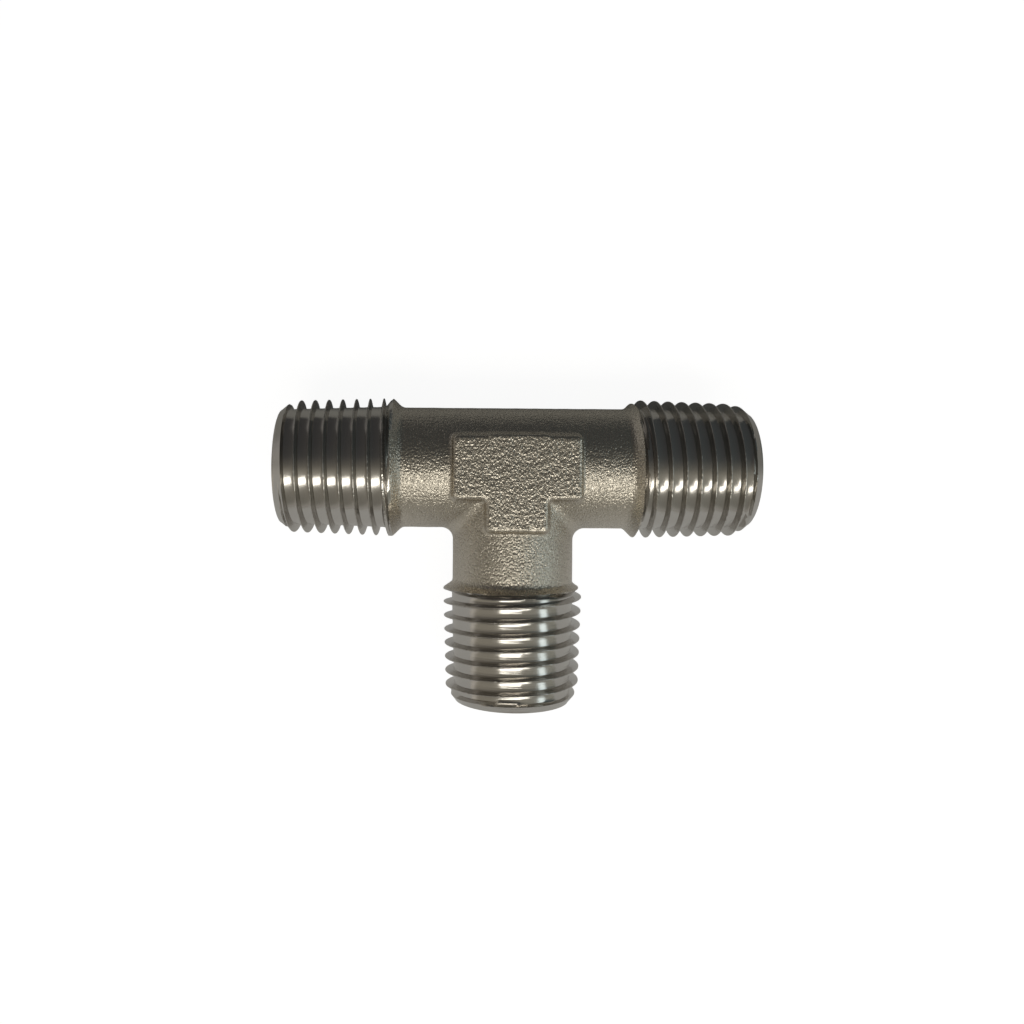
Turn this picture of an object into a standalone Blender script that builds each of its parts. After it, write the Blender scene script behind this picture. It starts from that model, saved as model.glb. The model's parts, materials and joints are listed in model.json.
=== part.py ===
"""Male tee fitting with three R1/4 taper threads.

One hot forging: a straight run along X, a branch of the same bore towards -Y, and a raised T
on both flat sides. The three ends are turned, threaded and drilled. The tee lies flat on
z = 0, and the origin is under the middle of its bounding box.
"""

import math

import bmesh
import bpy
from mathutils import Matrix, Vector

MM = 0.001

# Forged body
RUN_HALF_LENGTH = 22.5 * MM         # crossing of the axes to a run port face
BRANCH_LENGTH = 22.5 * MM           # crossing of the axes to the branch port face
NECK_DIAMETER = 11.65 * MM          # barrel between the crossing and the threads
CORNER_FILLET = 1.15 * MM           # radius in the corners between run and branch

# Raised T on each flat side
T_HEIGHT = 0.6 * MM                 # top of the T above the barrel
T_ARM_SPAN = 11.75 * MM
T_ARM_WIDTH = 5.8 * MM
T_STEM_WIDTH = 5.6 * MM
T_STEM_REACH = 5.9 * MM             # foot of the T below the run axis
T_CORNER_RADIUS = 0.45 * MM         # corners of its outline
T_EDGE_RADIUS = 0.3 * MM            # rim of its flat top

# R1/4 taper thread, Whitworth form
THREAD_PITCH = 25.4 * MM / 19
THREAD_GAUGE_DIAMETER = 13.157 * MM
THREAD_GAUGE_LENGTH = 6.0 * MM      # port face to the gauge plane
THREAD_TAPER = 1 / 16               # on the diameter
THREAD_LENGTH = 10.8 * MM           # port face to the edge of the shoulder
THREAD_RUN_OUT = 0.6                # turns over which the groove fades out at the shoulder
FLANK_ANGLE = math.radians(27.5)
WHITWORTH_DEPTH = 0.640327          # depth of the form as a share of the pitch

# Where the groove meets the shoulder, as an angle round each port from the upper side
LEFT_THREAD_ANGLE = math.radians(20.5)
RIGHT_THREAD_ANGLE = math.radians(-66.5)
BRANCH_THREAD_ANGLE = math.radians(-96)

# Turned ends and bore
SHOULDER_ANGLE = math.radians(45)
SHOULDER_FOOT_RADIUS = 0.5 * MM
END_CHAMFER_LENGTH = 1.15 * MM
FACE_BELOW_ROOT = 0.04 * MM         # port face rim inside the thread root, so grooves run out clean
BORE_DIAMETER = 8.0 * MM
BORE_CHAMFER = 0.3 * MM
DRILL_PAST_AXIS = 0.5 * MM          # the branch drill stops just beyond the run axis

# Facets
STEPS_PER_TURN = 24
FILLET_SEGMENTS = 4
SMALL_ROUND_SEGMENTS = 2
LARGEST_CUT = 0.45                  # share of a profile side that one rounded corner may take
ROUND_PROFILE = 0.5                 # bevel profile of a circular arc
CUTTER_RELIEF = 0.15 * MM           # how far a thread cutter stands above the crest
MERGE_DISTANCE = 0.01 * MM
CUTTER_OVERRUN = 1.0 * MM
BRANCH_ROOT = 1.1 * MM              # how far the branch barrel reaches past the run axis
SEAM_START = 1.4 * MM               # a seam edge nearer the branch axis than this is not filleted

# Angles that sort edges
COPLANAR = math.radians(1)
RIM_ANGLE = math.radians(80)
SHARP_ANGLE = math.radians(30)

# Thread form and radii that follow from the sizes above
THREAD_DEPTH = WHITWORTH_DEPTH * THREAD_PITCH
THREAD_FLAT = THREAD_PITCH / 6
NECK_RADIUS = NECK_DIAMETER / 2
BORE_RADIUS = BORE_DIAMETER / 2


def crest_radius(from_port):
    """Radius over the thread crests at a distance from the port face."""
    return THREAD_GAUGE_DIAMETER / 2 + (from_port - THREAD_GAUGE_LENGTH) * THREAD_TAPER / 2


SHOULDER_RADIUS = crest_radius(THREAD_LENGTH)
FACE_RADIUS = crest_radius(0) - THREAD_DEPTH - FACE_BELOW_ROOT
WIDEST_RADIUS = max(SHOULDER_RADIUS, NECK_RADIUS)
LYING_HEIGHT = max(SHOULDER_RADIUS, NECK_RADIUS + T_HEIGHT)
CROSSING = Vector((0, (BRANCH_LENGTH - WIDEST_RADIUS) / 2, LYING_HEIGHT))


def clear_scene():
    for old in list(bpy.data.objects):
        bpy.data.objects.remove(old, do_unlink=True)


def new_collection(name):
    collection = bpy.data.collections.new(name)
    bpy.context.scene.collection.children.link(collection)
    return collection


def rounded_corner(before, corner, after, radius, segments):
    """Points of an arc that rounds a corner of a profile, limited by the shorter side."""
    corner = Vector(corner)
    back = Vector(before) - corner
    ahead = Vector(after) - corner
    half_angle = back.angle(ahead) / 2
    cut = min(radius / math.tan(half_angle), LARGEST_CUT * back.length, LARGEST_CUT * ahead.length)
    start = corner + back.normalized() * cut
    end = corner + ahead.normalized() * cut
    centre = corner + (back.normalized() + ahead.normalized()).normalized() * cut / math.cos(half_angle)
    sweep = math.pi - 2 * half_angle
    middle = (start + end) / 2 - centre
    across = (end - start).normalized()
    arc_radius = (start - centre).length
    points = []
    for index in range(segments + 1):
        angle = sweep * (index / segments - 0.5)
        points.append(centre + middle.normalized() * arc_radius * math.cos(angle)
                      + across * arc_radius * math.sin(angle))
    return points


def end_profile(port):
    """Outline of one threaded end as (radius, height), from the port face to the neck."""
    shoulder = port - THREAD_LENGTH
    slope_length = abs(SHOULDER_RADIUS - NECK_RADIUS) / math.tan(SHOULDER_ANGLE)
    foot = (NECK_RADIUS, shoulder - slope_length)
    edge = (SHOULDER_RADIUS, shoulder)
    neck = (NECK_RADIUS, 0)
    return [
        Vector((0, port)),
        Vector((FACE_RADIUS, port)),
        Vector((crest_radius(END_CHAMFER_LENGTH), port - END_CHAMFER_LENGTH)),
        Vector(edge),
        *rounded_corner(edge, foot, neck, SHOULDER_FOOT_RADIUS, SMALL_ROUND_SEGMENTS),
    ]


def bore_profile(port):
    """Outline of a drilled port as (radius, height), flared at its mouth."""
    mouth = BORE_RADIUS + BORE_CHAMFER
    return [
        Vector((0, port + CUTTER_OVERRUN)),
        Vector((mouth + CUTTER_OVERRUN, port + CUTTER_OVERRUN)),
        Vector((BORE_RADIUS, port - BORE_CHAMFER)),
    ]


def mirrored(half):
    """A profile followed by its reflection in height, for a shape with two equal ends."""
    return half + [Vector((point.x, -point.y)) for point in reversed(half)]


def turned(name, profile, rotation, collection):
    """A solid of revolution: the profile's heights run along the object's own Z."""
    mesh = bpy.data.meshes.new(name)
    points = [(point.x, 0, point.y) for point in profile]
    mesh.from_pydata(points, [(i, i + 1) for i in range(len(points) - 1)], [])
    piece = bpy.data.objects.new(name, mesh)
    piece.rotation_euler = rotation
    collection.objects.link(piece)
    screw = piece.modifiers.new("turn", "SCREW")
    screw.steps = STEPS_PER_TURN
    screw.render_steps = STEPS_PER_TURN
    screw.use_merge_vertices = True
    screw.merge_threshold = MERGE_DISTANCE
    return piece


def join(piece, tool):
    boolean = piece.modifiers.new("join " + tool.name, "BOOLEAN")
    boolean.operation = "UNION"
    boolean.object = tool
    boolean.solver = "EXACT"


def cut_all(piece, cutters):
    """Cut every solid of a collection out of a piece at once."""
    boolean = piece.modifiers.new("cut " + cutters.name, "BOOLEAN")
    boolean.operation = "DIFFERENCE"
    boolean.operand_type = "COLLECTION"
    boolean.collection = cutters
    boolean.solver = "EXACT"


def make_tool(tool):
    """Mark an object as a construction tool that is not part of the fitting."""
    tool.hide_render = True
    tool.display_type = "WIRE"


def evaluated_mesh(piece):
    bpy.context.view_layer.update()
    graph = bpy.context.evaluated_depsgraph_get()
    mesh = bpy.data.meshes.new_from_object(piece.evaluated_get(graph), depsgraph=graph)
    mesh.transform(piece.matrix_world)
    return mesh


def fillet_seams(mesh):
    """Round the seams where the branch meets the run, in the planes |x| = |y|."""
    solid = bmesh.new()
    solid.from_mesh(mesh)
    bmesh.ops.remove_doubles(solid, verts=solid.verts, dist=MERGE_DISTANCE)

    def on_seam(vert):
        off_plane = abs(abs(vert.co.x) - abs(vert.co.y))
        return off_plane < MERGE_DISTANCE and abs(vert.co.x) > SEAM_START and vert.co.y < 0

    seams = [edge for edge in solid.edges
             if all(on_seam(vert) for vert in edge.verts) and not edge.is_convex]
    bmesh.ops.bevel(solid, geom=seams, offset=CORNER_FILLET, offset_type="OFFSET",
                    segments=FILLET_SEGMENTS, profile=ROUND_PROFILE, affect="EDGES", clamp_overlap=False)
    solid.to_mesh(mesh)
    solid.free()


def crossed_barrels(collection, tools):
    """The forging without its raised T: the run and the branch, filleted where they meet."""
    run = turned("run", mirrored(end_profile(RUN_HALF_LENGTH)), (0, math.pi / 2, 0), tools)
    root = [Vector((NECK_RADIUS, BRANCH_ROOT)), Vector((0, BRANCH_ROOT))]
    branch_profile = end_profile(BRANCH_LENGTH) + root
    branch = turned("branch", branch_profile, (math.pi / 2, 0, 0), tools)
    join(run, branch)
    mesh = evaluated_mesh(run)
    fillet_seams(mesh)
    bpy.data.objects.remove(run)
    bpy.data.objects.remove(branch)
    body = bpy.data.objects.new("tee_body", mesh)
    collection.objects.link(body)
    return body


def raised_t(tools):
    """One T-shaped bar through the crossing, whose two ends are the raised T on each side."""
    arm = T_ARM_SPAN / 2
    half_width = T_ARM_WIDTH / 2
    stem = T_STEM_WIDTH / 2
    corners = [(-arm, half_width), (-arm, -half_width), (-stem, -half_width), (-stem, -T_STEM_REACH),
               (stem, -T_STEM_REACH), (stem, -half_width), (arm, -half_width), (arm, half_width)]
    outline = []
    for index, corner in enumerate(corners):
        after = corners[(index + 1) % len(corners)]
        before = corners[index - 1]
        outline += rounded_corner(before, corner, after, T_CORNER_RADIUS, SMALL_ROUND_SEGMENTS)

    curve = bpy.data.curves.new("t_outline", "CURVE")
    curve.dimensions = "2D"
    curve.fill_mode = "BOTH"
    curve.extrude = NECK_RADIUS + T_HEIGHT
    spline = curve.splines.new("POLY")
    spline.points.add(len(outline) - 1)
    for spline_point, point in zip(spline.points, outline):
        spline_point.co = (point.x, point.y, 0, 1)
    spline.use_cyclic_u = True
    guide = bpy.data.objects.new("t_outline", curve)
    tools.objects.link(guide)
    mesh = evaluated_mesh(guide)
    bpy.data.objects.remove(guide)

    solid = bmesh.new()
    solid.from_mesh(mesh)
    bmesh.ops.remove_doubles(solid, verts=solid.verts, dist=MERGE_DISTANCE)
    bmesh.ops.dissolve_limit(solid, angle_limit=COPLANAR, verts=solid.verts, edges=solid.edges)
    bmesh.ops.recalc_face_normals(solid, faces=solid.faces)
    rims = [edge for edge in solid.edges if edge.calc_face_angle() > RIM_ANGLE]
    bmesh.ops.bevel(solid, geom=rims, offset=T_EDGE_RADIUS, offset_type="OFFSET",
                    segments=SMALL_ROUND_SEGMENTS, profile=ROUND_PROFILE, affect="EDGES")
    solid.to_mesh(mesh)
    solid.free()
    bar = bpy.data.objects.new("t_bar", mesh)
    tools.objects.link(bar)
    return bar


def thread_cutter(name, port, outward, shoulder_angle, tools):
    """The helical groove of one right-hand thread, as a solid that cuts it out of a turned end.

    The groove is swept in a frame whose Z runs out of the port and whose X points up. It follows
    the taper, leaves the part through the end chamfer and climbs out of it at the shoulder.
    """
    shoulder = port - THREAD_LENGTH
    fade_length = THREAD_RUN_OUT * THREAD_PITCH
    step_angle = 2 * math.pi / STEPS_PER_TURN
    rise = THREAD_PITCH / STEPS_PER_TURN
    lead_in = math.floor(shoulder_angle / step_angle) - 1
    steps = math.ceil((THREAD_LENGTH + THREAD_PITCH) / rise)
    start_angle = lead_in * step_angle
    start = shoulder + (start_angle - shoulder_angle) / step_angle * rise

    top = THREAD_DEPTH + CUTTER_RELIEF
    half_root = THREAD_FLAT / 2
    half_top = half_root + top * math.tan(FLANK_ANGLE)
    section = [(-half_root, 0), (half_root, 0), (half_top, top), (-half_top, top)]
    root_radius = SHOULDER_RADIUS - THREAD_DEPTH

    solid = bmesh.new()
    corners = [solid.verts.new((root_radius + up, 0, start + along)) for along, up in section]
    solid.faces.new(corners)
    bmesh.ops.rotate(solid, verts=solid.verts, matrix=Matrix.Rotation(start_angle, 3, "Z"))
    bmesh.ops.spin(solid, geom=solid.verts[:] + solid.edges[:] + solid.faces[:], axis=(0, 0, 1),
                   dvec=(0, 0, rise), angle=steps * step_angle, steps=steps)
    bmesh.ops.recalc_face_normals(solid, faces=solid.faces)
    for vert in solid.verts:
        past_shoulder = vert.co.z - shoulder
        fade = min(max(1 - past_shoulder / fade_length, 0), 1)
        radius = vert.co.xy.length
        shift = fade * top - past_shoulder * THREAD_TAPER / 2
        vert.co.xy *= (radius + shift) / radius

    up = Vector((0, 0, 1))
    frame = Matrix((up, outward.cross(up), outward)).transposed()
    bmesh.ops.transform(solid, matrix=frame.to_4x4(), verts=solid.verts)
    mesh = bpy.data.meshes.new(name)
    solid.to_mesh(mesh)
    solid.free()
    cutter = bpy.data.objects.new(name, mesh)
    tools.objects.link(cutter)
    return cutter


def plated_brass():
    material = bpy.data.materials.new("nickel_plated_brass")
    material.use_nodes = True
    shader = material.node_tree.nodes["Principled BSDF"]
    shader.inputs["Base Color"].default_value = (0.57, 0.53, 0.47, 1)
    shader.inputs["Metallic"].default_value = 1.0
    shader.inputs["Roughness"].default_value = 0.3
    return material


def build():
    clear_scene()
    fitting = new_collection("tee_fitting")
    guides = new_collection("guides")
    cutters = new_collection("cutters")

    body = crossed_barrels(fitting, guides)
    t_bar = raised_t(guides)
    join(body, t_bar)

    turned("run_bore", mirrored(bore_profile(RUN_HALF_LENGTH)), (0, math.pi / 2, 0), cutters)
    branch_drill = bore_profile(BRANCH_LENGTH)
    branch_drill += [Vector((BORE_RADIUS, -DRILL_PAST_AXIS)), Vector((0, -DRILL_PAST_AXIS))]
    turned("branch_bore", branch_drill, (math.pi / 2, 0, 0), cutters)
    thread_cutter("left_groove", RUN_HALF_LENGTH, Vector((-1, 0, 0)), LEFT_THREAD_ANGLE, cutters)
    thread_cutter("right_groove", RUN_HALF_LENGTH, Vector((1, 0, 0)), RIGHT_THREAD_ANGLE, cutters)
    thread_cutter("branch_groove", BRANCH_LENGTH, Vector((0, -1, 0)), BRANCH_THREAD_ANGLE, cutters)
    cut_all(body, cutters)

    crossing = bpy.data.objects.new("crossing", None)
    fitting.objects.link(crossing)
    crossing.location = CROSSING
    for piece in [body, *guides.objects, *cutters.objects]:
        piece.parent = crossing
    for tool in [*guides.objects, *cutters.objects]:
        make_tool(tool)
    body.data.materials.clear()
    body.data.materials.append(plated_brass())
    body.data.shade_smooth()
    body.data.set_sharp_from_angle(angle=SHARP_ANGLE)


build()
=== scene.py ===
"""Looks of the male tee fitting: one plated forging with three turned taper threads.

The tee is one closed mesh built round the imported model: the forged crossing with its raised T
on both sides, three helical threads with their shoulders and chamfers, and the drilled bores.
Shapes are worked out in millimetres about the crossing of the run and branch axes.
"""

import json
import math

import bmesh
import bpy
import numpy as np
from mathutils import Matrix, Vector, noise


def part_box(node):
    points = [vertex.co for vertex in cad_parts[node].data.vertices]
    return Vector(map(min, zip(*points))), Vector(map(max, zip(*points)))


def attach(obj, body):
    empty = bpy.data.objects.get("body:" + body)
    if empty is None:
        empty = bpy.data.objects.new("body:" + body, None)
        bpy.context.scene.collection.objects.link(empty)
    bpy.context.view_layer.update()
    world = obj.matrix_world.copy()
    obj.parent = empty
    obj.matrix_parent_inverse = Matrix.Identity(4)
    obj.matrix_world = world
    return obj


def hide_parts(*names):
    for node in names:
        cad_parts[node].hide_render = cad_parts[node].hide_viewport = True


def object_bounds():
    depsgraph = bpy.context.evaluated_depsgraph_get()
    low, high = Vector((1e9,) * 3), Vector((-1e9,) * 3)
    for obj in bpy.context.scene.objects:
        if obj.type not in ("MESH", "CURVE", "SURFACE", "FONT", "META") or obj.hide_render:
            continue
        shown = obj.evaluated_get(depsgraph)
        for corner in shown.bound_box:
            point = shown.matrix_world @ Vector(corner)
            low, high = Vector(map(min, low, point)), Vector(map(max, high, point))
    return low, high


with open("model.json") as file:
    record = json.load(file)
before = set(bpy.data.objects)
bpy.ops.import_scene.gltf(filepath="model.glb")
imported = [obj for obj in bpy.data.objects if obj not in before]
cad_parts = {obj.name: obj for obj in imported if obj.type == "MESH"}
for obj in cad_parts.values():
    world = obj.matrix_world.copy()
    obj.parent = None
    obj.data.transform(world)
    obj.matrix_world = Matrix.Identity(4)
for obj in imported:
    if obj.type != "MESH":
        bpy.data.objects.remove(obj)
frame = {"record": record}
cad_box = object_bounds()

MM = 0.001

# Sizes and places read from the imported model, in millimetres about the crossing
LOW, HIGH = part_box("tee_body")
MOUNTS = {mount["name"]: mount for mount in frame["record"]["mounts"]}
SHOULDER_RADIUS = (HIGH.z - LOW.z) / 2 / MM
CROSSING = Vector(((LOW.x + HIGH.x) / 2, HIGH.y - SHOULDER_RADIUS * MM, (LOW.z + HIGH.z) / 2))
RUN_PORT = (HIGH.x - LOW.x) / 2 / MM
BRANCH_PORT = (CROSSING.y - LOW.y) / MM
T_TOP = (MOUNTS["upper_t_face"]["pos_m"][2] - CROSSING.z) / MM

# Forged crossing
NECK_RADIUS = 5.825
CORNER_FILLET = 1.15
T_ARM_HALF_SPAN = 5.875
T_HALF_WIDTH = 2.9
T_STEM_HALF_WIDTH = 2.8
T_STEM_REACH = 5.9
T_CORNER_RADIUS = 0.45
T_ARMPIT_RADIUS = 0.45
T_RIM_RADIUS = 0.33
T_FOOT_RADIUS = 0.32
T_DRAFT = math.radians(6)
BROAD_WAVES = 0.012             # heights of the waves on the forged skin
FINE_WAVES = 0.006
T_TOP_WAVES = 0.012             # what the T's tops have over the barrels' fine waves
FORGED_TO = 10.3                # distance from the crossing where the forged mesh hands over
HANDOVER = 0.15
VOXEL = 0.17

# Turned ends with their R1/4 thread
PITCH = 25.4 / 19
THREAD_DEPTH = 0.84
CREST_ROUNDING = 0.1
ROOT_HALF_WIDTH = 0.43          # the roots are wide and only slightly hollow
ROOT_END_SLOPE = 0.167
FLANK_SLOPE = math.tan(math.radians(77))
ROOT_ROUNDING = 0.03
SMOOTH_PORT = 0.5               # the grooves start this far in from the port face
PORT_FADE = 0.35
FADE_LIFT = 1.2                 # where a groove is faded out its root is this many depths up
TAPER = 1 / 16
THREAD_LENGTH = 10.8
FACE_RADIUS = 5.495
END_CHAMFER = 1.15
SHOULDER_FOOT = 0.3
SHOULDER_ROUNDING = 0.12
CHAMFER_ROUNDING = 0.1
GROOVE_EDGE_ROUNDING = 0.02
RIM_ROUNDING = 0.06
FLAT_MARGIN = 0.06              # extra ring beside an edge, so flat faces shade flat
BORE_RADIUS = 4.0
BORE_CHAMFER = 0.3
CREST_BAND = 0.16               # depth below the crest that handling has marked

# Mesh density, and the rows across a thread groove as shares of the pitch from its middle
COLUMNS = 72                    # steps round a port
ROWS_IN_ROOT = (0, 0.2)
ROWS_BY_ROOT_END = (-0.03, 0, 0.015, 0.05)
ROWS_BY_CREST_CORNER = (-0.015, 0, 0.015)
MERGE_DISTANCE = 1e-4
SHARP_ANGLE = math.radians(50)
SETTLING_STEPS = 5

PORTS = {
    "left": (Vector((-1, 0, 0)), RUN_PORT),
    "right": (Vector((1, 0, 0)), RUN_PORT),
    "branch": (Vector((0, -1, 0)), BRANCH_PORT),
}

# The angle where each groove is level with its shoulder's peak, counted from the upper side, and
# how far past the peak the groove starts and the length over which it reaches its full depth
THREADS = {
    "left": {"angle": math.radians(20.5), "runs_in": -0.1, "fade": 0.8, "shoulder_slope": 1.0},
    "right": {"angle": math.radians(-66.5), "runs_in": -0.5, "fade": 0.7, "shoulder_slope": 1.0},
    "branch": {"angle": math.radians(-96), "runs_in": -0.5, "fade": 0.8, "shoulder_slope": 1.5},
}


def smooth_min(a, b, width):
    """The lower of two values, with the corner between them rounded over a width."""
    share = np.clip(0.5 + 0.5 * (b - a) / width, 0, 1)
    return b * (1 - share) + a * share - width * share * (1 - share)


def smooth_max(a, b, width):
    """The higher of two values, with the corner between them rounded over a width."""
    return -smooth_min(-a, -b, width)


def round_union(a, b, radius):
    """Distance to two shapes joined by a fillet of a radius."""
    inner = np.hypot(np.maximum(radius - a, 0), np.maximum(radius - b, 0))
    return np.maximum(radius, np.minimum(a, b)) - inner


# ---- The forged crossing, as a distance field ----

def fillet_curve_distance(x, y, z):
    """Distance to the path of a ball that rolls in the corner between run and branch."""
    reach = NECK_RADIUS + CORNER_FILLET
    across = np.abs(x) - y
    turn = np.arctan2(z, np.maximum(across / 2, 1e-6))
    least_bend, largest_step = 0.5, 0.3
    for _ in range(SETTLING_STEPS):
        slope = np.sin(turn) * across - reach * np.sin(turn) * np.cos(turn) - z * np.cos(turn)
        bend = np.cos(turn) * across - reach * np.cos(2 * turn) + z * np.sin(turn)
        step = slope / np.where(np.abs(bend) < least_bend, least_bend, bend)
        turn -= np.clip(step, -largest_step, largest_step)
    out = reach * np.cos(turn)
    return np.sqrt((np.abs(x) - out) ** 2 + (y + out) ** 2 + (z - reach * np.sin(turn)) ** 2)


def barrels(x, y, z):
    """Distance to the run and the branch with a rolled fillet in their corners."""
    run = np.hypot(y, z) - NECK_RADIUS
    branch = np.hypot(x, z) - NECK_RADIUS
    ball = CORNER_FILLET
    run_stretch = (NECK_RADIUS + ball) / (run + NECK_RADIUS)
    branch_stretch = (NECK_RADIUS + ball) / (branch + NECK_RADIUS)
    run_foot_clear = np.hypot(x, z * run_stretch) - NECK_RADIUS >= ball
    branch_foot_clear = np.hypot(y, z * branch_stretch) - NECK_RADIUS >= ball
    far = 1e3
    to_run = np.where((run < ball) & run_foot_clear, ball - run, far)
    to_branch = np.where((branch < ball) & branch_foot_clear, ball - branch, far)
    nearest = np.minimum(np.minimum(to_run, to_branch), fillet_curve_distance(x, y, z))
    return np.where(y < 0, ball - nearest, run)


def rounded_box(x, y, half_x, half_y, radius):
    """Distance to a flat rectangle with rounded corners."""
    over_x = np.abs(x) - half_x + radius
    over_y = np.abs(y) - half_y + radius
    outside = np.hypot(np.maximum(over_x, 0), np.maximum(over_y, 0))
    return outside + np.minimum(np.maximum(over_x, over_y), 0) - radius


def t_outline(x, y):
    """Distance to the outline of the raised T."""
    arms = rounded_box(x, y, T_ARM_HALF_SPAN, T_HALF_WIDTH, T_CORNER_RADIUS)
    stem_half = (T_STEM_REACH + T_HALF_WIDTH) / 2
    stem = rounded_box(x, y + T_STEM_REACH - stem_half, T_STEM_HALF_WIDTH, stem_half, T_CORNER_RADIUS)
    return round_union(arms, stem, T_ARMPIT_RADIUS)


def raised_t(x, y, z):
    """Distance to the T block, whose sides lean by the draft and whose rim is rounded."""
    height = np.abs(z) - T_TOP
    side = (t_outline(x, y) + height * math.tan(T_DRAFT)) * math.cos(T_DRAFT)
    over_side = side + T_RIM_RADIUS
    over_top = height + T_RIM_RADIUS
    outside = np.hypot(np.maximum(over_side, 0), np.maximum(over_top, 0))
    return outside + np.minimum(np.maximum(over_side, over_top), 0) - T_RIM_RADIUS


def forging(points):
    """Distance to the forged crossing: the barrels with the T blended onto them."""
    x, y, z = points.T
    return round_union(barrels(x, y, z), raised_t(x, y, z), T_FOOT_RADIUS)


def gradient(points):
    """How the distance to the forging changes along each axis."""
    step = 0.002
    slopes = []
    for axis in range(3):
        offset = np.zeros(3)
        offset[axis] = step
        slopes.append((forging(points + offset) - forging(points - offset)) / (2 * step))
    return np.stack(slopes, 1)


def settle(points):
    """Moves points onto the forging's surface, and returns them with the surface's normals."""
    least_size = 0.2
    for _ in range(SETTLING_STEPS):
        slope = gradient(points)
        size = np.maximum((slope ** 2).sum(1), least_size)
        points = points - slope * (forging(points) / size)[:, None]
    slope = gradient(points)
    return points, slope / np.linalg.norm(slope, axis=1)[:, None]


def rough_crossing():
    """A coarse solid of the crossing, remeshed evenly: the start for the settled surface."""
    solid = bmesh.new()
    overlap = 1.0
    length = FORGED_TO + overlap
    for turn, start, end in ((Matrix.Rotation(math.pi / 2, 4, "Y"), -length, length),
                             (Matrix.Rotation(math.pi / 2, 4, "X"), 0, length)):
        place = turn @ Matrix.Translation((0, 0, (start + end) / 2))
        bmesh.ops.create_cone(solid, cap_ends=True, segments=96, radius1=NECK_RADIUS,
                              radius2=NECK_RADIUS, depth=end - start, matrix=place)
    for half_x, top, bottom in ((T_ARM_HALF_SPAN, T_HALF_WIDTH, -T_HALF_WIDTH),
                                (T_STEM_HALF_WIDTH, 0, -T_STEM_REACH)):
        size = Matrix.Diagonal((2 * half_x, top - bottom, 2 * T_TOP, 1))
        place = Matrix.Translation((0, (top + bottom) / 2, 0)) @ size
        bmesh.ops.create_cube(solid, size=1, matrix=place)
    mesh = bpy.data.meshes.new("rough_crossing")
    solid.to_mesh(mesh)
    solid.free()
    rough = bpy.data.objects.new("rough_crossing", mesh)
    bpy.context.scene.collection.objects.link(rough)
    remesh = rough.modifiers.new("remesh", "REMESH")
    remesh.mode = "VOXEL"
    remesh.voxel_size = VOXEL
    graph = bpy.context.evaluated_depsgraph_get()
    even = bpy.data.meshes.new_from_object(rough.evaluated_get(graph), depsgraph=graph)
    bpy.data.objects.remove(rough)
    return even


def forged_crossing(solid):
    """Adds the settled forged surface, open where the turned ends take over."""
    even = rough_crossing()
    piece = bmesh.new()
    piece.from_mesh(even)
    for outward, _ in PORTS.values():
        bmesh.ops.bisect_plane(piece, geom=piece.verts[:] + piece.edges[:] + piece.faces[:],
                               plane_co=outward * FORGED_TO, plane_no=outward, clear_outer=True)
    near_rim = [edge for edge in piece.edges if is_near_rim(edge)]
    bmesh.ops.subdivide_edges(piece, edges=near_rim, cuts=1, use_grid_fill=True)
    points = np.array([vert.co for vert in piece.verts], float)
    points, normals = settle(points)
    points += normals * forging_waves(points)[:, None]
    for vert, point in zip(piece.verts, points):
        vert.co = point
    piece.to_mesh(even)
    piece.free()
    solid.from_mesh(even)


def is_near_rim(edge):
    """Whether an edge of the mesh lies along the raised T's rim or foot, which need finer mesh."""
    rim_band = 0.42
    upper_part = 0.75 * NECK_RADIUS
    middle = (edge.verts[0].co + edge.verts[1].co) / 2
    outline = float(t_outline(np.array([middle.x]), np.array([middle.y]))[0])
    return abs(outline) < rim_band and abs(middle.z) > upper_part


def forging_waves(points):
    """Small height changes that the die and the scale leave on the forged skin."""
    below_top, change_height, end_fade = 0.12, 0.1, 0.8
    on_top = np.clip((np.abs(points[:, 2]) - T_TOP + below_top) / change_height, 0, 1)
    from_ends = FORGED_TO - np.maximum(np.abs(points[:, 0]), -points[:, 1])
    fade = np.clip(from_ends / end_fade, 0, 1)
    broad = np.array([noise.noise(Vector(p) * 0.9) for p in points])
    fine = np.array([noise.noise(Vector((x * 1.6, y * 2.6, z * 2.0 + 7))) for x, y, z in points])
    return fade * (BROAD_WAVES * broad + (FINE_WAVES + T_TOP_WAVES * on_top) * fine)


# ---- The turned ends ----

def crest_radius(from_port):
    """Radius over the thread's crests at a distance from the port face."""
    return SHOULDER_RADIUS + (from_port - THREAD_LENGTH) * TAPER / 2


def envelope(from_port, shoulder_slope):
    """Radius of a turned end before it is threaded: neck, shoulder, tapered barrel, chamfer."""
    chamfer_slope = (crest_radius(END_CHAMFER) - FACE_RADIUS) / END_CHAMFER
    chamfer = FACE_RADIUS + from_port * chamfer_slope
    shoulder = SHOULDER_RADIUS - (from_port - THREAD_LENGTH) * shoulder_slope
    shoulder = smooth_max(shoulder, NECK_RADIUS, SHOULDER_FOOT)
    barrel = smooth_min(crest_radius(from_port), chamfer, CHAMFER_ROUNDING)
    return smooth_min(barrel, shoulder, SHOULDER_ROUNDING)


def thread_height(off_centre):
    """Height over the thread root at an axial distance from the middle of the groove."""
    root = ROOT_END_SLOPE * off_centre ** 2 / (2 * ROOT_HALF_WIDTH)
    flank = (off_centre - ROOT_HALF_WIDTH) * FLANK_SLOPE
    return smooth_min(smooth_max(root, flank, 2 * ROOT_ROUNDING), THREAD_DEPTH, CREST_ROUNDING)


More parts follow.
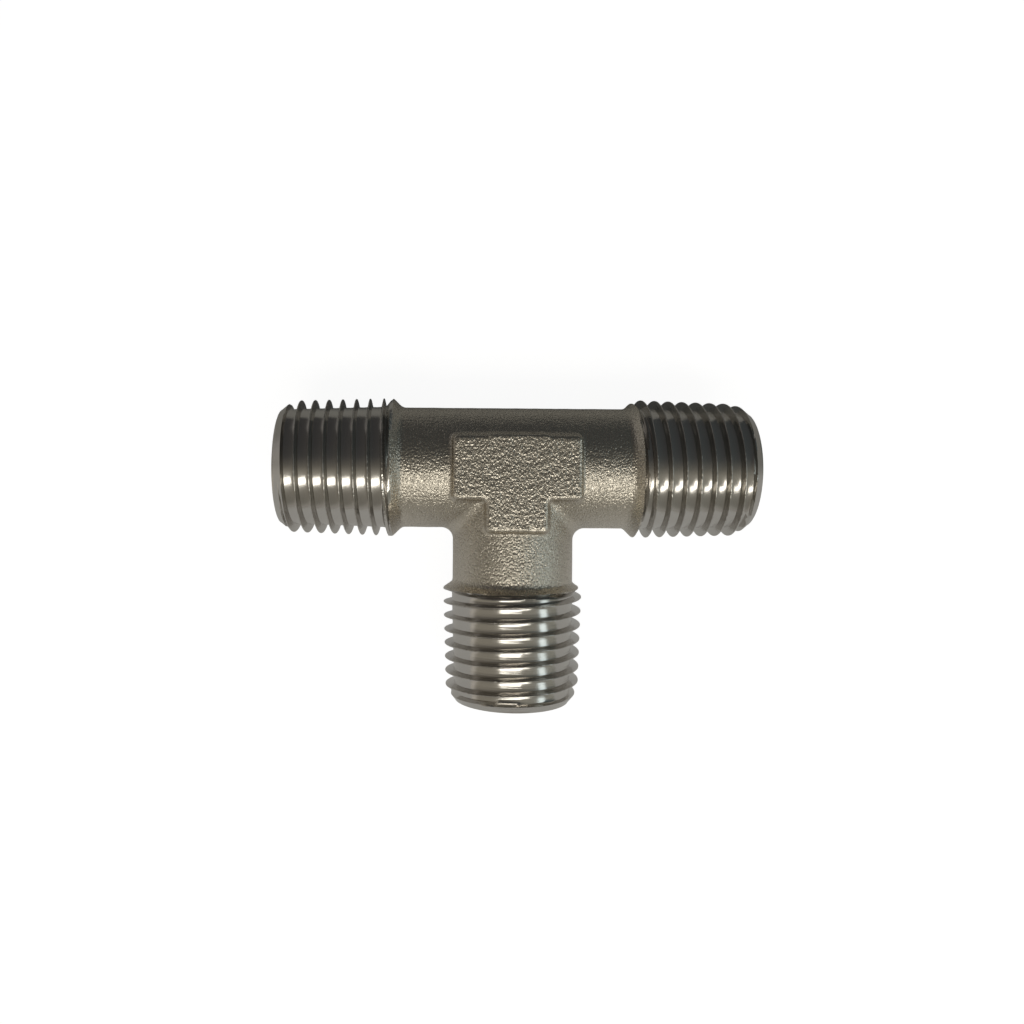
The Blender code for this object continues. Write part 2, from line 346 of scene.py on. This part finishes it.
def turned_radius(along, angle, port, thread):
    """Radius of a threaded end at a distance from the crossing and an angle from the upper side."""
    from_port = port - along
    past_shoulder = THREAD_LENGTH - from_port
    turns = past_shoulder / PITCH - (angle - thread["angle"]) / (2 * math.pi)
    off_centre = np.abs(turns - np.round(turns)) * PITCH
    fade = np.clip(1 - (past_shoulder - thread["runs_in"]) / thread["fade"], 0, 1)
    fade += np.clip(1 - (from_port - SMOOTH_PORT) / PORT_FADE, 0, 1)
    groove = crest_radius(from_port) - THREAD_DEPTH + thread_height(off_centre)
    groove += fade * THREAD_DEPTH * FADE_LIFT
    groove = smooth_max(groove, FACE_RADIUS + ROOT_ROUNDING, ROOT_ROUNDING)
    return smooth_min(envelope(from_port, thread["shoulder_slope"]), groove, GROOVE_EDGE_ROUNDING)


def row_offsets():
    """Places across one pitch, as shares of it, that follow the root, flanks and crest."""
    root_end = ROOT_HALF_WIDTH / PITCH
    corner = root_end + THREAD_DEPTH / FLANK_SLOPE / PITCH
    half = list(ROWS_IN_ROOT)
    half += [root_end + step for step in ROWS_BY_ROOT_END]
    half += [corner + step for step in ROWS_BY_CREST_CORNER]
    return half + [0.5] + [1 - share for share in reversed(half[1:])]


def helical_grid(port, thread):
    """Distances from the crossing, radii and angles of a skin whose rows follow the thread."""
    start, end = FORGED_TO + HANDOVER, port - RIM_ROUNDING
    shoulder = port - THREAD_LENGTH
    turn = 2 * math.pi
    first = math.floor((start - shoulder) / PITCH + thread["angle"] / turn) - 1
    last = math.ceil((end - shoulder) / PITCH + thread["angle"] / turn) + 1
    shares = np.array([whole + part for whole in range(first, last) for part in row_offsets()])
    angles = np.linspace(0, turn, COLUMNS + 1)
    along = shoulder + PITCH * (shares[:, None] + (angles[None, :] - thread["angle"]) / turn)
    along = np.clip(along, start, end)
    angle = np.broadcast_to(angles, along.shape)
    return along, turned_radius(along, angle, port, thread), angle


def turned_end(solid, name):
    """Adds one threaded end: helical skin, rounded rim, port face, bore chamfer and bore."""
    outward, port = PORTS[name]
    up = Vector((0, 0, 1))
    side = outward.cross(up)
    crest_layer = solid.verts.layers.float["crest"]
    along, radius, angle = helical_grid(port, THREADS[name])

    def put(distance, reach, turned):
        place = outward * distance + (up * math.cos(turned) + side * math.sin(turned)) * reach
        vert = solid.verts.new(place)
        vert[crest_layer] = max(0, 1 - (crest_radius(port - distance) - reach) / CREST_BAND)
        return vert

    rows = [[put(*values) for values in zip(*row)] for row in zip(along, radius, angle)]
    edge = radius[-1, 0]
    mouth = BORE_RADIUS + BORE_CHAMFER
    rim = [(port - 0.25 * RIM_ROUNDING, edge - 0.3 * RIM_ROUNDING), (port, edge - RIM_ROUNDING)]
    face = [(port, edge - RIM_ROUNDING - FLAT_MARGIN), (port, mouth + FLAT_MARGIN)]
    chamfer = [(port, mouth), (port - BORE_CHAMFER, BORE_RADIUS)]
    bore = [(port - BORE_CHAMFER - FLAT_MARGIN, BORE_RADIUS), (FORGED_TO, BORE_RADIUS)]
    for distance, reach in rim + face + chamfer + bore:
        rows.append([put(distance, reach, turned) for turned in angle[0]])
    for row, after in zip(rows, rows[1:]):
        for column in range(COLUMNS):
            solid.faces.new((row[column], row[column + 1], after[column + 1], after[column]))


def crossed_bores(solid):
    """Adds the walls of the run and branch bores, which meet in a sharp mitre."""
    turn = 2 * math.pi / COLUMNS

    def strip(corners):
        solid.faces.new([solid.verts.new(corner) for corner in corners])

    def on_ring(step):
        return BORE_RADIUS * math.sin(turn * step), BORE_RADIUS * math.cos(turn * step)

    for step in range(COLUMNS):
        (x0, z0), (x1, z1) = on_ring(step), on_ring(step + 1)
        for end in (-FORGED_TO, FORGED_TO):
            mitre0, mitre1 = (math.copysign(max(-across, 0), end) for across in (x0, x1))
            strip([(end, x0, z0), (mitre0, x0, z0), (mitre1, x1, z1), (end, x1, z1)])
        strip([(x0, -FORGED_TO, z0), (x0, -abs(x0), z0), (x1, -abs(x1), z1), (x1, -FORGED_TO, z1)])


def zip_rings(solid, outward, inner_distance, outer_distance):
    """Closes the gap between two open rings round a port axis that have different vertex counts."""
    up = Vector((0, 0, 1))
    side = outward.cross(up)
    barrel = NECK_RADIUS * 1.2

    def ring(distance):
        found = []
        for vert in solid.verts:
            if vert.is_boundary and abs(vert.co.dot(outward) - distance) < MERGE_DISTANCE:
                if (vert.co - outward * distance).length < barrel:
                    angle = math.atan2(vert.co.dot(side), vert.co.dot(up)) % (2 * math.pi)
                    found.append((angle, vert))
        found.sort(key=lambda item: item[0])
        return found + [(found[0][0] + 2 * math.pi, found[0][1])]

    near, far = ring(inner_distance), ring(outer_distance)
    i = j = 0
    while i < len(near) - 1 or j < len(far) - 1:
        near_next = near[i + 1][0] if i < len(near) - 1 else math.inf
        far_next = far[j + 1][0] if j < len(far) - 1 else math.inf
        if near_next <= far_next:
            solid.faces.new((near[i][1], near[i + 1][1], far[j][1]))
            i += 1
        else:
            solid.faces.new((near[i][1], far[j + 1][1], far[j][1]))
            j += 1


def build_tee():
    """The whole tee as one closed mesh, with its crest wear and its finishes stored in it."""
    solid = bmesh.new()
    forged_crossing(solid)
    solid.verts.layers.float.new("crest")
    crossed_bores(solid)
    for name in PORTS:
        turned_end(solid, name)
    bmesh.ops.remove_doubles(solid, verts=solid.verts, dist=MERGE_DISTANCE)
    bmesh.ops.dissolve_degenerate(solid, dist=MERGE_DISTANCE / 10, edges=solid.edges)
    for outward, _ in PORTS.values():
        zip_rings(solid, outward, FORGED_TO, FORGED_TO + HANDOVER)
    bmesh.ops.recalc_face_normals(solid, faces=solid.faces)
    for face in solid.faces:
        face.material_index = finish_of(face.calc_center_median())
        face.smooth = True
    open_edges = sum(1 for edge in solid.edges if len(edge.link_faces) != 2)
    print("tee mesh:", len(solid.verts), "vertices,", len(solid.faces), "faces,", open_edges, "open edges")
    mesh = bpy.data.meshes.new("tee")
    place = Matrix.Translation(CROSSING) @ Matrix.Scale(MM, 4)
    bmesh.ops.transform(solid, matrix=place, verts=solid.verts)
    solid.to_mesh(mesh)
    solid.free()
    mesh.set_sharp_from_angle(angle=SHARP_ANGLE)
    tee = bpy.data.objects.new("tee", mesh)
    bpy.context.scene.collection.objects.link(tee)
    return tee


FORGED, TURNED_RUN, TURNED_BRANCH = range(3)


def finish_of(centre):
    """Which finish a face has: forged skin up to the shoulders' peaks, then turned metal."""
    margin = 0.1
    turned_length = THREAD_LENGTH + margin
    in_run_bore = centre.yz.length < BORE_RADIUS + margin
    in_branch_bore = centre.xz.length < BORE_RADIUS + margin and centre.y < 0
    if -centre.y > BRANCH_PORT - turned_length:
        return TURNED_BRANCH
    if abs(centre.x) > RUN_PORT - turned_length or in_run_bore or in_branch_bore:
        return TURNED_RUN
    return FORGED


# ---- Materials ----

FORGED_NICKEL = (0.62, 0.575, 0.50)
TURNED_NICKEL = (0.58, 0.56, 0.53)
FORGED_ROUGHNESS = (0.24, 0.33)
TURNED_ROUGHNESS = (0.16, 0.22)

# Bump depths in millimetres
GRAIN_DEPTH = 0.093
DENT_DEPTH = 0.06
RUN_LINE_DEPTH = 0.0012
BRANCH_LINE_DEPTH = 0.02


def new_material(name, base):
    """A metal with a base colour, and its shader's nodes."""
    material = bpy.data.materials.new(name)
    material.use_nodes = True
    nodes, links = material.node_tree.nodes, material.node_tree.links
    shader = nodes["Principled BSDF"]
    shader.inputs["Base Color"].default_value = (*base, 1)
    shader.inputs["Metallic"].default_value = 1.0
    return material, nodes, links, shader


def add_noise(nodes, links, stretch, scale, detail, rough=0.5):
    """A noise texture in millimetres of the object's own space, stretched along its axes."""
    place = nodes.new("ShaderNodeTexCoord")
    mapping = nodes.new("ShaderNodeMapping")
    mapping.inputs["Scale"].default_value = [factor / MM for factor in stretch]
    texture = nodes.new("ShaderNodeTexNoise")
    texture.inputs["Scale"].default_value = scale
    texture.inputs["Detail"].default_value = detail
    texture.inputs["Roughness"].default_value = rough
    links.new(place.outputs["Object"], mapping.inputs["Vector"])
    links.new(mapping.outputs["Vector"], texture.inputs["Vector"])
    return texture.outputs["Fac"]


def add_range(nodes, links, value, low, high, from_low=0.3, from_high=0.7):
    """A value stretched from one range onto another, and held at the ends."""
    ramp = nodes.new("ShaderNodeMapRange")
    ramp.inputs["From Min"].default_value = from_low
    ramp.inputs["From Max"].default_value = from_high
    ramp.inputs["To Min"].default_value = low
    ramp.inputs["To Max"].default_value = high
    links.new(value, ramp.inputs["Value"])
    return ramp.outputs["Result"]


def add_bump(nodes, links, height, depth_mm, before=None):
    """The surface's normal bent by a height, on top of another bump if one is given."""
    bump = nodes.new("ShaderNodeBump")
    bump.inputs["Distance"].default_value = depth_mm * MM
    links.new(height, bump.inputs["Height"])
    if before is not None:
        links.new(before, bump.inputs["Normal"])
    return bump.outputs["Normal"]


def add_math(nodes, links, operation, first, second):
    """One operation on two values, each a socket or a number."""
    math_node = nodes.new("ShaderNodeMath")
    math_node.operation = operation
    for socket, value in zip(math_node.inputs, (first, second)):
        if isinstance(value, (int, float)):
            socket.default_value = value
        else:
            links.new(value, socket)
    return math_node.outputs["Value"]


def t_top_mask(nodes, links):
    """1 on the flat tops of the raised T, 0 elsewhere, with a change just below the top."""
    change_from, change_to = T_TOP - 0.12, T_TOP - 0.03
    place = nodes.new("ShaderNodeTexCoord")
    parts = nodes.new("ShaderNodeSeparateXYZ")
    links.new(place.outputs["Object"], parts.inputs["Vector"])
    height = add_math(nodes, links, "SUBTRACT", parts.outputs["Z"], CROSSING.z)
    height = add_math(nodes, links, "ABSOLUTE", height, 0.0)
    return add_range(nodes, links, height, 0.0, 1.0, change_from * MM, change_to * MM)


def forged_skin():
    """Plated forging: a fine sparkling grain on the barrels, a coarser wavy one on the T."""
    material, nodes, links, shader = new_material("forged_skin", FORGED_NICKEL)
    fine = add_noise(nodes, links, (1.3, 1, 1), 5.0, 1.5, 0.6)
    wavy = add_noise(nodes, links, (1.5, 1, 1), 4.0, 1.5, 0.6)
    on_top = t_top_mask(nodes, links)
    on_barrel = add_math(nodes, links, "SUBTRACT", 1.0, on_top)
    fine_part = add_math(nodes, links, "MULTIPLY", fine, on_barrel)
    wavy_part = add_math(nodes, links, "MULTIPLY", wavy, on_top)
    grain = add_math(nodes, links, "ADD", fine_part, wavy_part)
    links.new(add_bump(nodes, links, grain, GRAIN_DEPTH), shader.inputs["Normal"])
    links.new(add_range(nodes, links, fine, *FORGED_ROUGHNESS), shader.inputs["Roughness"])
    return material


def turned_metal(name, stretch, line_depth):
    """Turned and threaded metal: fine lines round the axis, and dents along the worn crests."""
    material, nodes, links, shader = new_material(name, TURNED_NICKEL)
    lines = add_noise(nodes, links, stretch, 1.0, 2.0, 0.6)
    normal = add_bump(nodes, links, lines, line_depth)
    dents = add_noise(nodes, links, (1, 1, 1), 3.0, 1.0)
    crest = nodes.new("ShaderNodeAttribute")
    crest.attribute_name = "crest"
    worn = add_math(nodes, links, "MULTIPLY", dents, crest.outputs["Fac"])
    links.new(add_bump(nodes, links, worn, DENT_DEPTH, normal), shader.inputs["Normal"])
    stains = add_noise(nodes, links, (0.4, 0.4, 0.4), 1.0, 2.0)
    links.new(add_range(nodes, links, stains, *TURNED_ROUGHNESS), shader.inputs["Roughness"])
    return material


def finish_tee(tee):
    """Gives the tee its materials, in the order of the finishes that its faces name."""
    across = 0.03
    tee.data.materials.append(forged_skin())
    tee.data.materials.append(turned_metal("turned_run", (3.0, across, across), RUN_LINE_DEPTH))
    tee.data.materials.append(turned_metal("turned_branch", (across, 4.0, across), BRANCH_LINE_DEPTH))


# ---- Stage ----

SHEET_HALF_SIZE = 3.0           # metres
TABLE_BACK = 30.0               # the reflected table ends this far behind the crossing

WARM_LIGHT = (1.0, 0.97, 0.89)
COOL_LIGHT = (0.86, 1.0, 1.05)

# Colours of the room by direction: from straight back to straight in front, and left to right
ROOM_BACK_TO_FRONT = [
    (0.15, (0.046, 0.046, 0.047)),
    (0.35, (0.056, 0.056, 0.056)),
    (0.50, (0.130, 0.122, 0.106)),
    (0.62, (0.290, 0.270, 0.225)),
    (0.80, (0.240, 0.225, 0.190)),
    (1.00, (0.200, 0.190, 0.165)),
]
ROOM_LEFT_TO_RIGHT = [
    (0.10, (0.025, 0.020, 0.015)),
    (0.50, (0.0, 0.0, 0.0)),
    (0.95, (0.020, 0.035, 0.037)),
]
WALL_GLOW = (0.28, 0.27, 0.26)


def make_plane(name, lift, albedo, back):
    """A wide level sheet under the tee that ends a distance behind it, and its shader's nodes."""
    mesh = bpy.data.meshes.new(name)
    sheet = bmesh.new()
    bmesh.ops.create_grid(sheet, x_segments=1, y_segments=1, size=SHEET_HALF_SIZE)
    sheet.to_mesh(mesh)
    sheet.free()
    plane = bpy.data.objects.new(name, mesh)
    plane.location = (0, back - SHEET_HALF_SIZE, cad_box[0][2] + lift * MM)
    bpy.context.scene.collection.objects.link(plane)
    material = bpy.data.materials.new(name)
    material.use_nodes = True
    material.cycles.emission_sampling = "NONE"
    nodes, links = material.node_tree.nodes, material.node_tree.links
    shader = nodes["Principled BSDF"]
    shader.inputs["Base Color"].default_value = (albedo, albedo, albedo, 1)
    shader.inputs["Roughness"].default_value = 0.9
    shader.inputs["Emission Color"].default_value = (1, 1, 1, 1)
    mesh.materials.append(material)
    return plane, nodes, links, shader


def make_floor():
    """Pale paper for the camera, and just over it a grey sheet seen only in the metal's reflections: its
    greyness is painted shade on the reflected floor, and its glow, brighter in front, is painted light.
    """
    paper, _, _, shader = make_plane("paper", lift=0.0, albedo=0.25, back=SHEET_HALF_SIZE)
    shader.inputs["Emission Strength"].default_value = 0.92
    paper.visible_glossy = False
    table_back = CROSSING.y + TABLE_BACK * MM
    # The table is a grey sheet that only the metal sees, darker than the paper: painted shade on the floor
    # seen in reflections
    table, nodes, links, shader = make_plane("table", lift=0.01, albedo=0.55, back=table_back)
    place = nodes.new("ShaderNodeNewGeometry")
    parts = nodes.new("ShaderNodeSeparateXYZ")
    links.new(place.outputs["Position"], parts.inputs["Vector"])
    # Painted light: the sheet glows in front of the tee and fades to none behind it, standing in for a lit
    # floor in front and shade behind
    painted_front_glow = add_range(nodes, links, parts.outputs["Y"], 0.19, 0.0, -0.004, 0.012)
    links.new(painted_front_glow, shader.inputs["Emission Strength"])
    table.visible_camera = False
    table.visible_diffuse = False
    table.visible_shadow = False


def area_light(name, lean, slant, spread, radiance, colour):
    """A soft panel: leaned from overhead to the right and to the front, and turned in its plane."""
    distance = 1.0
    light = bpy.data.lights.new(name, "AREA")
    light.shape = "RECTANGLE"
    light.size, light.size_y = (2 * distance * math.tan(math.radians(width) / 2) for width in spread)
    light.energy = radiance * math.pi * light.size * light.size_y
    light.color = colour
    lamp = bpy.data.objects.new(name, light)
    right, front = (math.radians(angle) for angle in lean)
    aim = Matrix.Rotation(right, 4, "Y") @ Matrix.Rotation(front, 4, "X")
    place = Matrix.Translation((0, 0, distance)) @ Matrix.Rotation(math.radians(slant), 4, "Z")
    lamp.matrix_world = Matrix.Translation(CROSSING) @ aim @ place
    bpy.context.scene.collection.objects.link(lamp)


def add_ramp(nodes, links, value, stops):
    """A colour that changes with a value through a list of stops."""
    ramp = nodes.new("ShaderNodeValToRGB")
    points = ramp.color_ramp.elements
    while len(points) < len(stops):
        points.new(0.5)
    for point, (position, colour) in zip(points, stops):
        point.position = position
        point.color = (*colour, 1)
    links.new(value, ramp.inputs["Fac"])
    return ramp.outputs["Color"]


def add_colours(nodes, links, first, second):
    mix = nodes.new("ShaderNodeVectorMath")
    mix.operation = "ADD"
    links.new(first, mix.inputs[0])
    links.new(second, mix.inputs[1])
    return mix.outputs["Vector"]


def studio_world():
    """A dim room, darkest behind the tee, with pale walls low down to its left and in front."""
    world = bpy.data.worlds.new("room")
    world.use_nodes = True
    bpy.context.scene.world = world
    nodes, links = world.node_tree.nodes, world.node_tree.links
    direction = nodes.new("ShaderNodeTexCoord").outputs["Generated"]
    parts = nodes.new("ShaderNodeSeparateXYZ")
    links.new(direction, parts.inputs["Vector"])
    x, y, z = (parts.outputs[axis] for axis in "XYZ")
    front = add_range(nodes, links, y, 1.0, 0.0, -1.0, 1.0)
    right = add_range(nodes, links, x, 0.0, 1.0, -1.0, 1.0)
    low = add_range(nodes, links, z, 1.0, 0.0, 0.12, 0.22)
    depth = add_ramp(nodes, links, front, ROOM_BACK_TO_FRONT)
    width = add_ramp(nodes, links, right, ROOM_LEFT_TO_RIGHT)
    left_wall = add_range(nodes, links, x, 1.0, 0.0, -0.6, -0.3)
    front_wall = add_range(nodes, links, y, 0.5, 0.0, -0.6, -0.3)
    either_wall = add_math(nodes, links, "MAXIMUM", left_wall, front_wall)
    low_walls = add_math(nodes, links, "MULTIPLY", low, either_wall)
    walls = add_ramp(nodes, links, low_walls, [(0.0, (0, 0, 0)), (1.0, WALL_GLOW)])
    air = add_colours(nodes, links, depth, width)
    room = nodes["Background"]
    links.new(add_colours(nodes, links, air, walls), room.inputs["Color"])
    backdrop = nodes.new("ShaderNodeBackground")
    backdrop.inputs["Color"].default_value = (1, 1, 1, 1)
    path = nodes.new("ShaderNodeLightPath")
    mix = nodes.new("ShaderNodeMixShader")
    links.new(path.outputs["Is Camera Ray"], mix.inputs["Fac"])
    links.new(room.outputs["Background"], mix.inputs[1])
    links.new(backdrop.outputs["Background"], mix.inputs[2])
    links.new(mix.outputs["Shader"], nodes["World Output"].inputs["Surface"])


def light_scene():
    """Two warm panels in front, a tall cool window low on the right, and the room."""
    area_light("main_panel", lean=(-6, 29), slant=-4, spread=(36, 12.5), radiance=4.3, colour=WARM_LIGHT)
    area_light("right_panel", lean=(24, 35.5), slant=0, spread=(16, 7.5), radiance=4.3, colour=WARM_LIGHT)
    area_light("side_window", lean=(57.6, 6), slant=0, spread=(14, 40), radiance=1.2, colour=COOL_LIGHT)
    studio_world()
    bpy.context.scene.view_settings.view_transform = "Standard"


def place_camera():
    """A close camera straight above the tee, a little to the left of the crossing and below it."""
    distance = 82.4
    aside, below = -6.0, -0.94
    roll = math.radians(0.47)
    camera = bpy.data.cameras.new("camera")
    camera.sensor_width = 36
    camera.lens = 29.58
    camera.shift_x = 0.059
    camera.shift_y = -0.034
    camera.clip_start = 0.001
    holder = bpy.data.objects.new("camera", camera)
    holder.location = CROSSING + Vector((aside, below, distance)) * MM
    holder.rotation_euler = (0, 0, roll)
    bpy.context.scene.collection.objects.link(holder)
    bpy.context.scene.camera = holder


place_camera()
light_scene()
make_floor()
tee = build_tee()
finish_tee(tee)
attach(tee, "root")
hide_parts("tee_body")
